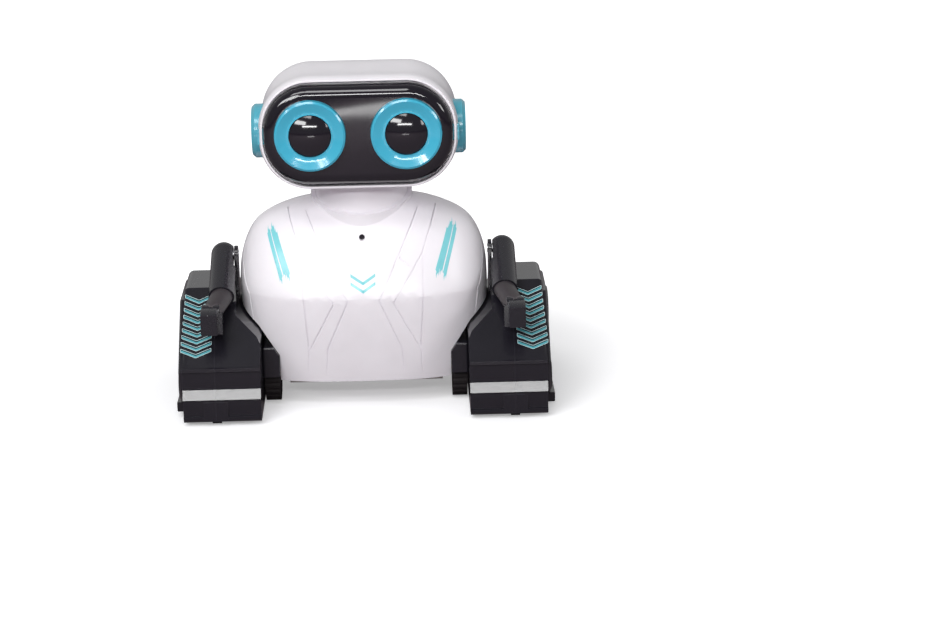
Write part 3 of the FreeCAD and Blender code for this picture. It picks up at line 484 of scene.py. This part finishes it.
class ROBOT_OT_face(bpy.types.Operator):
    """Visor, eye rings, pupils and ear pods"""
    bl_idname = "robot.face"
    bl_label = "Face"

    def execute(self, context):
        finished("visor", "visor")
        for side, _ in sides():
            finished("eye_ring_" + side, "blue")
            finished("eye_lens_" + side, "pupil")
            finished("ear_pod_" + side, "ear", edge=EAR_EDGE)
        repaint("chest_sensor", "visor")
        return {"FINISHED"}


class ROBOT_OT_arms(bpy.types.Operator):
    """Upper arms, forearms and hands"""
    bl_idname = "robot.arms"
    bl_label = "Arms"

    def execute(self, context):
        for side, _ in sides():
            finished("upper_arm_" + side, "arm")
            finished("forearm_" + side, "sleeve")
            finished("hand_" + side, "arm", edge=HAND_EDGE, flat=True)
        repaint("shoulder_pins", "steel")
        return {"FINISHED"}


class ROBOT_OT_covers(bpy.types.Operator):
    """Side covers with their bumpers and hubs"""
    bl_idname = "robot.covers"
    bl_label = "Side covers"

    def execute(self, context):
        edge = settings("robot_plastic").edge
        for side, _ in sides():
            for half in ("outer", "inner"):
                finished("track_%s_%s" % (half, side), "black", edge=edge, flat=True)
        repaint("track_screws", "steel")
        return {"FINISHED"}


class ROBOT_OT_running_gear(bpy.types.Operator):
    """Wheels, tyres, guards, rollers and gears"""
    bl_idname = "robot.running_gear"
    bl_label = "Running gear"

    def execute(self, context):
        finishes = {"front_roller": "tyre", "rear_roller": "tyre", "gearbox": "gear", "motor": "steel",
                    "pinion": "brass", "reduction_gear": "gear", "axle": "gear"}
        finished("wheel_guards", "black", edge=GUARD_EDGE)
        for side, _ in sides():
            finished("tyre_" + side, "tyre")
            finished("wheel_" + side, "black")
            for node, finish in finishes.items():
                repaint(node + "_" + side, finish)
        for node in ("roller_pins", "gear_pins"):
            repaint(node, "steel")
        return {"FINISHED"}


class ROBOT_OT_inside(bpy.types.Operator):
    """Cells, contacts, boards, speaker, switch and screws"""
    bl_idname = "robot.inside"
    bl_label = "Inside"

    def execute(self, context):
        finishes = {
            "circuit_board": "board", "eye_board": "board", "chip_set": "chip", "speaker": "chip",
            "battery_cells": "cell", "battery_contacts": "steel", "battery_door_screw": "steel",
            "body_screws": "steel", "power_switch": "black"}
        for node, finish in finishes.items():
            repaint(node, finish)
        return {"FINISHED"}


# The sloped panel that carries the cover marks, in mm: its foot (behind the cover's front, above the
# floor) and how far behind the front its upper end lies.
PANEL_FOOT = (1.9, 20.3)
PANEL_CROWN = 23.7
# The marks, in mm: where their middle lies and how far it drifts inwards up the rows, half their width
# at the highest row and how much more the lowest has, and how far the arms rise.
MARK_MIDDLE, MARK_DRIFT = 55.8, 0.8
MARK_HALF, MARK_TAPER = 4.65, 0.45
MARK_RISE = 2.3
# Where the first row lies and how far the rows reach, as shares of the panel's length.
FIRST_ROW, ROW_SPAN = 0.114, 0.68
# The outline's height and width, and the bar in it: its height, how much shorter each arm is and how
# far it is raised, in mm.
RIM_HIGH, RIM_WIDE = 1.45, 0.15
FILL_HIGH, FILL_SHORTER, FILL_RAISED = 0.66, 0.20, 0.14


class ROBOT_OT_cover_marks(bpy.types.Operator):
    """Rows of arrow marks on the sloped panel of each cover"""
    bl_idname = "robot.cover_marks"
    bl_label = "Cover marks"

    def execute(self, context):
        ink = settings("robot_print")
        low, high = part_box("track_outer_left")
        foot = Vector((0, low.y + PANEL_FOOT[0] * MM, PANEL_FOOT[1] * MM))
        crown = Vector((0, low.y + PANEL_CROWN * MM, high.z))
        slope = (crown - foot).normalized()
        outwards = Vector((0, -slope.z, slope.y))
        for side, sign in sides():
            for layer, lift in (("rim", ink.lift), ("fill", 2 * ink.lift)):
                bm = self.marks(layer, ink.rows, (crown - foot).length)
                place = Matrix((
                    (sign, 0, 0, 0),
                    (0, -outwards.y, slope.y, foot.y + outwards.y * lift),
                    (0, -outwards.z, slope.z, foot.z + outwards.z * lift),
                    (0, 0, 0, 1)))
                bmesh.ops.transform(bm, matrix=place, verts=bm.verts)
                point_faces(bm, outwards)
                name = "cover_marks_%s_%s" % (layer, side)
                new_piece(name, bm, layer, "torso")
        return {"FINISHED"}

    def marks(self, layer, rows, length):
        """One layer of all the rows, flat in the plane y = 0: outlines or the bars inside them."""
        bm = bmesh.new()
        for row in range(rows):
            share = row / (rows - 1)
            middle = (MARK_MIDDLE - MARK_DRIFT * share) * MM
            half = (MARK_HALF + MARK_TAPER * (1 - share)) * MM
            base = length * (FIRST_ROW + ROW_SPAN * share)
            if layer == "rim":
                self.chevron(bm, middle, half, base, RIM_HIGH * MM)
            else:
                half, base = half - FILL_SHORTER * MM, base + FILL_RAISED * MM
                self.chevron(bm, middle, half, base, FILL_HIGH * MM)
        round_ends(bm)
        if layer == "rim":
            inner = bmesh.ops.inset_individual(bm, faces=bm.faces[:], thickness=RIM_WIDE * MM)["faces"]
            bmesh.ops.delete(bm, geom=[f for f in bm.faces if f not in set(inner)], context="FACES")
        return bm

    def chevron(self, bm, middle, half, base, high):
        """A flat V-shaped mark with its point at the given base."""
        rise = MARK_RISE * MM
        corners = ((-half, rise), (0, 0), (half, rise),
                   (half, rise + high), (0, high), (-half, rise + high))
        flat_outline(bm, [(middle + x, base + z) for x, z in corners])


# The chest arrows, in mm: half their width, how high their arms and point lie, their thickness and how
# far the second one lies below the first.
ARROW_HALF, ARROW_ARM_Z, ARROW_POINT_Z = 4.1, 46.2, 43.6
ARROW_HIGH, ARROW_DROP = 1.0, 2.6
# The (x, z) ends of the shoulder stripes' middle line, in mm, on the robot's left.
STRIPE_TOP, STRIPE_FOOT = (29.9, 60.6), (26.0, 44.4)
# The broad bars of a stripe, in mm: offset, width, how far the foot is cut back and the top raised.
STRIPE_BARS = ((-1.25, 1.12, 1.6, -0.9), (0.0, 1.22, 2.4, 0.6), (1.25, 1.12, 0.6, -0.4))
# The hairs of each bar: their offset as a share of its width, their width, and what their foot is cut
# back and their top raised beyond the bar's, in mm.
STRIPE_HAIRS = ((-0.28, 0.26, -1.3, 0.3), (0.30, 0.24, -0.7, 0.9))
# How far the inner and outer corners stand back from a bar's points, at the top and at the foot, in mm.
TOP_SLANT, FOOT_SLANT = (0.8, 1.3), (1.5, 0.9)
# Where the chest marks are cut, once per millimetre, so that they can follow the shell.
CUT_STEPS = range(-40, 80)


class ROBOT_OT_chest_marks(bpy.types.Operator):
    """Two arrows and two brushed stripes on the chest"""
    bl_idname = "robot.chest_marks"
    bl_label = "Chest marks"

    def execute(self, context):
        skin = merged("chest_shell")
        tree = BVHTree.FromBMesh(skin)
        skin.free()
        bm = bmesh.new()
        for drop in (0.0, ARROW_DROP):
            line = ((-ARROW_HALF, ARROW_ARM_Z), (0, ARROW_POINT_Z), (ARROW_HALF, ARROW_ARM_Z))
            stroke(bm, [(x * MM, (z - drop) * MM) for x, z in line], ARROW_HIGH * MM)
        self.lay(bm, tree, "chest_arrows")
        for side, sign in sides():
            bm = bmesh.new()
            for bar in self.bars():
                flat_outline(bm, [(sign * x * MM, z * MM) for x, z in self.bar_corners(*bar)])
            self.lay(bm, tree, "shoulder_stripes_" + side)
        return {"FINISHED"}

    def bars(self):
        """The broad bars, each with two finer hairs that run past its ends."""
        for offset, wide, cut, raised in STRIPE_BARS:
            yield offset, wide, cut, raised
            for share, thin, less, more in STRIPE_HAIRS:
                yield offset + wide * share, thin, cut + less, raised + more

    def bar_corners(self, offset, wide, cut, raised):
        """The (x, z) corners of a bar in mm, with a slanting point at each end."""
        top = (STRIPE_TOP[0] + offset, STRIPE_TOP[1] + raised)
        foot = (STRIPE_FOOT[0] + offset, STRIPE_FOOT[1] + cut)
        return ((top[0] - wide / 2, top[1] - TOP_SLANT[0]), top,
                (top[0] + wide / 2, top[1] - TOP_SLANT[1]),
                (foot[0] + wide / 2, foot[1] + FOOT_SLANT[1]), foot,
                (foot[0] - wide / 2, foot[1] + FOOT_SLANT[0]))

    def lay(self, bm, tree, name):
        """Cuts the flat marks small and lays them on the shell."""
        bmesh.ops.triangulate(bm, faces=bm.faces)
        for axis in ((1, 0, 0), (0, 0, 1)):
            for step in CUT_STEPS:
                at = Vector(axis) * step * MM
                everything = bm.verts[:] + bm.edges[:] + bm.faces[:]
                bmesh.ops.bisect_plane(bm, geom=everything, plane_co=at, plane_no=axis)
        lift = settings("robot_print").lift
        for vert in bm.verts:
            hit, _, _, _ = tree.ray_cast(Vector((vert.co.x, -0.1, vert.co.z)), Vector((0, 1, 0)))
            if hit is None:
                raise RuntimeError(name + " misses the chest")
            vert.co = hit + Vector((0, -lift, lift * 0.3))
        point_faces(bm, Vector((0, -1, 0)))
        for face in bm.faces:
            face.smooth = True
        new_piece(name, bm, "ink", "torso")


# The lamps: name, place and size in metres. Each takes its power from the setting of the same name.
LAMPS = (
    ("key", (-0.42, -0.66, 0.52), (0.50, 0.16)),
    ("top", (-0.16, -0.46, 0.72), (0.45, 0.22)),
    ("side", (0.62, -0.42, 0.34), (0.22, 0.16)),
    ("band", (0.0, -0.50, 0.017), (0.16, 0.014)),
    ("strip", (-0.04, -0.72, 0.35), (0.56, 0.05)),
)
LAMP_AIM = Vector((0, 0, 0.06))
FLOOR_HALF = 3.0
# The floor glows more from the near to the far distance, in metres from its middle.
GLOW_NEAR, GLOW_FAR = 0.06, 0.22
# How far the room's light reaches round from the front to the back, as the y of a direction.
ROOM_FRONT, ROOM_BACK = -0.25, 0.85
# The point the camera stands back from, in metres: in front of the neck's middle, at this height. It
# looks past that point, to its right and below it.
TARGET_FORWARD, TARGET_HIGH = 0.018, 0.060
LOOK_RIGHT, LOOK_DOWN = 0.0356, 0.0258


class ROBOT_OT_stage(bpy.types.Operator):
    """Floor, lights and camera"""
    bl_idname = "robot.stage"
    bl_label = "Stage"

    def execute(self, context):
        s = settings("robot_stage")
        self.floor(s)
        self.room(s)
        self.lights(s)
        self.camera(s)
        context.scene.view_settings.view_transform = "Standard"
        return {"FINISHED"}

    def floor(self, s):
        bm = bmesh.new()
        bmesh.ops.create_grid(bm, x_segments=1, y_segments=1, size=FLOOR_HALF)
        floor = add_mesh("floor", bm, self.floor_material(s))

    def floor_material(self, s):
        """White to the camera but for the robot's shadow, and dimmer in reflections and as bounced light."""
        material = bpy.data.materials.new("Floor")
        material.use_nodes = True
        tree = material.node_tree
        shader = tree.nodes["Principled BSDF"]
        shader.inputs["Roughness"].default_value = 0.9
        shader.inputs["Specular IOR Level"].default_value = 0.0
        seen = tree.nodes.new("ShaderNodeLightPath").outputs["Is Camera Ray"]
        tone = tree.nodes.new("ShaderNodeMix")
        tone.data_type = "RGBA"
        tone.inputs[MIX_A].default_value = (*s.bounce, 1)
        tone.inputs[MIX_B].default_value = (*s.floor, 1)
        tree.links.new(seen, tone.inputs[MIX_FACTOR])
        tree.links.new(tone.outputs[MIX_RESULT], shader.inputs["Base Color"])
        reach = tree.nodes.new("ShaderNodeVectorMath")
        reach.operation = "LENGTH"
        tree.links.new(tree.nodes.new("ShaderNodeTexCoord").outputs["Object"], reach.inputs[0])
        away = map_range(tree, reach.outputs["Value"], GLOW_NEAR, GLOW_FAR, s.lift, 1.0)
        tree.links.new(math_node(tree, "MULTIPLY", away, seen), shader.inputs["Emission Strength"])
        shader.inputs["Emission Color"].default_value = (1, 1, 1, 1)
        return material

    def room(self, s):
        """White to the camera; as a light it is bright behind the robot and dim in front of it."""
        world = bpy.data.worlds.new("Room")
        bpy.context.scene.world = world
        world.use_nodes = True
        tree = world.node_tree
        split = tree.nodes.new("ShaderNodeSeparateXYZ")
        tree.links.new(tree.nodes.new("ShaderNodeTexCoord").outputs["Generated"], split.inputs[0])
        behind = map_range(tree, split.outputs["Y"], ROOM_FRONT, ROOM_BACK, s.front, s.back)
        path = tree.nodes.new("ShaderNodeLightPath")
        seen = math_node(tree, "MAXIMUM", path.outputs["Is Camera Ray"], path.outputs["Is Transmission Ray"])
        rest = math_node(tree, "MULTIPLY", behind, math_node(tree, "SUBTRACT", 1.0, seen))
        tree.links.new(math_node(tree, "ADD", rest, seen), tree.nodes["Background"].inputs["Strength"])
        tree.nodes["Background"].inputs["Color"].default_value = (1.0, 1.0, 1.0, 1)

    def lights(self, s):
        for name, place, size in LAMPS:
            data = bpy.data.lights.new(name, "AREA")
            data.shape = "RECTANGLE"
            data.size, data.size_y = size
            data.energy = getattr(s, name)
            lamp = add_object(name, data)
            lamp.location = place
            lamp.rotation_euler = (LAMP_AIM - Vector(place)).to_track_quat("-Z", "Y").to_euler()

    def camera(self, s):
        """Looks past the robot, so that it stands left of and above the middle of the frame."""
        back = Vector((math.sin(s.azimuth) * math.cos(s.elevation),
                       -math.cos(s.azimuth) * math.cos(s.elevation), math.sin(s.elevation)))
        level = Vector((math.cos(s.azimuth), math.sin(s.azimuth), 0))
        upright = back.cross(level)
        right = level * math.cos(s.roll) - upright * math.sin(s.roll)
        up = upright * math.cos(s.roll) + level * math.sin(s.roll)
        neck_y = sum(c.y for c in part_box("neck_tube")) / 2
        target = Vector((0, neck_y - TARGET_FORWARD, TARGET_HIGH))
        away = (right * LOOK_RIGHT - up * LOOK_DOWN - back * s.distance).normalized()
        right = (right - away * right.dot(away)).normalized()
        up = right.cross(away)
        data = bpy.data.cameras.new("camera")
        data.lens = s.lens
        data.sensor_width = 36
        data.clip_start, data.clip_end = 0.05, 20
        camera = add_object("camera", data)
        turn = Matrix((right, up, -away)).transposed().to_4x4()
        camera.matrix_world = Matrix.Translation(target + back * s.distance) @ turn
        bpy.context.scene.camera = camera


class ROBOT_PT_panel(bpy.types.Panel):
    """Lists the robot's operators"""
    bl_label = "Toy Robot"
    bl_space_type = "VIEW_3D"
    bl_region_type = "UI"
    bl_category = "Toy Robot"

    def draw(self, context):
        for operator in OPERATORS:
            self.layout.operator(operator.bl_idname)


SETTINGS = {"robot_plastic": PlasticSettings, "robot_print": PrintSettings, "robot_stage": StageSettings}
OPERATORS = (ROBOT_OT_shells, ROBOT_OT_face, ROBOT_OT_arms, ROBOT_OT_covers, ROBOT_OT_running_gear,
             ROBOT_OT_inside, ROBOT_OT_cover_marks, ROBOT_OT_chest_marks, ROBOT_OT_stage)


def register():
    for name, group in SETTINGS.items():
        bpy.utils.register_class(group)
        setattr(bpy.types.Scene, name, bpy.props.PointerProperty(type=group))
    for item in (*OPERATORS, ROBOT_PT_panel):
        bpy.utils.register_class(item)


def unregister():
    for item in reversed((*OPERATORS, ROBOT_PT_panel)):
        bpy.utils.unregister_class(item)
    for name, group in SETTINGS.items():
        delattr(bpy.types.Scene, name)
        bpy.utils.unregister_class(group)


def main():
    register()
    for operator in OPERATORS:
        namespace, name = operator.bl_idname.split(".")
        getattr(getattr(bpy.ops, namespace), name)()


if __name__ == "__main__":
    main()
